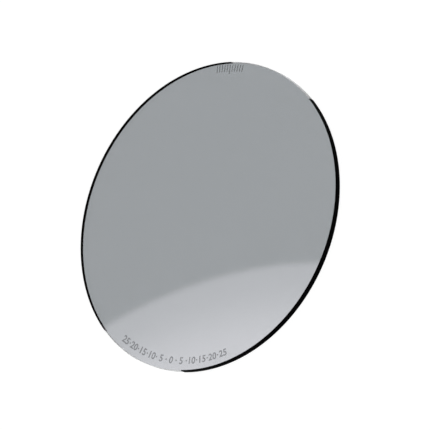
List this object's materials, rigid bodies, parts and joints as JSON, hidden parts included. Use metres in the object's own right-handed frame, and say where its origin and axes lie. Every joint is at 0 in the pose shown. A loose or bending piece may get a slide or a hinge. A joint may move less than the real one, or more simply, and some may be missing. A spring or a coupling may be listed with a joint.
{
  "type": "round neutral density lens filter",
  "caption": "Thin round disc of polished neutral grey glass with a blackened edge, with no ring or thread, that drops into a filter seat and cuts the light to a lens.",
  "frame": {"origin": "middle of the back face, on which the disc lies", "axes": "+Z along the optical axis, out of the front face; +Y to the top of the disc as its front face is read"},
  "size_m": [0.095, 0.0948, 0.002],
  "materials": {
    "grey_glass": "polished",
    "black_lacquer": "matte"
  },
  "bodies": {
    "root": {"glass_disc": "grey_glass", "left_edge_lacquer": "black_lacquer", "right_edge_lacquer": "black_lacquer"}
  },
  "joints": []
}
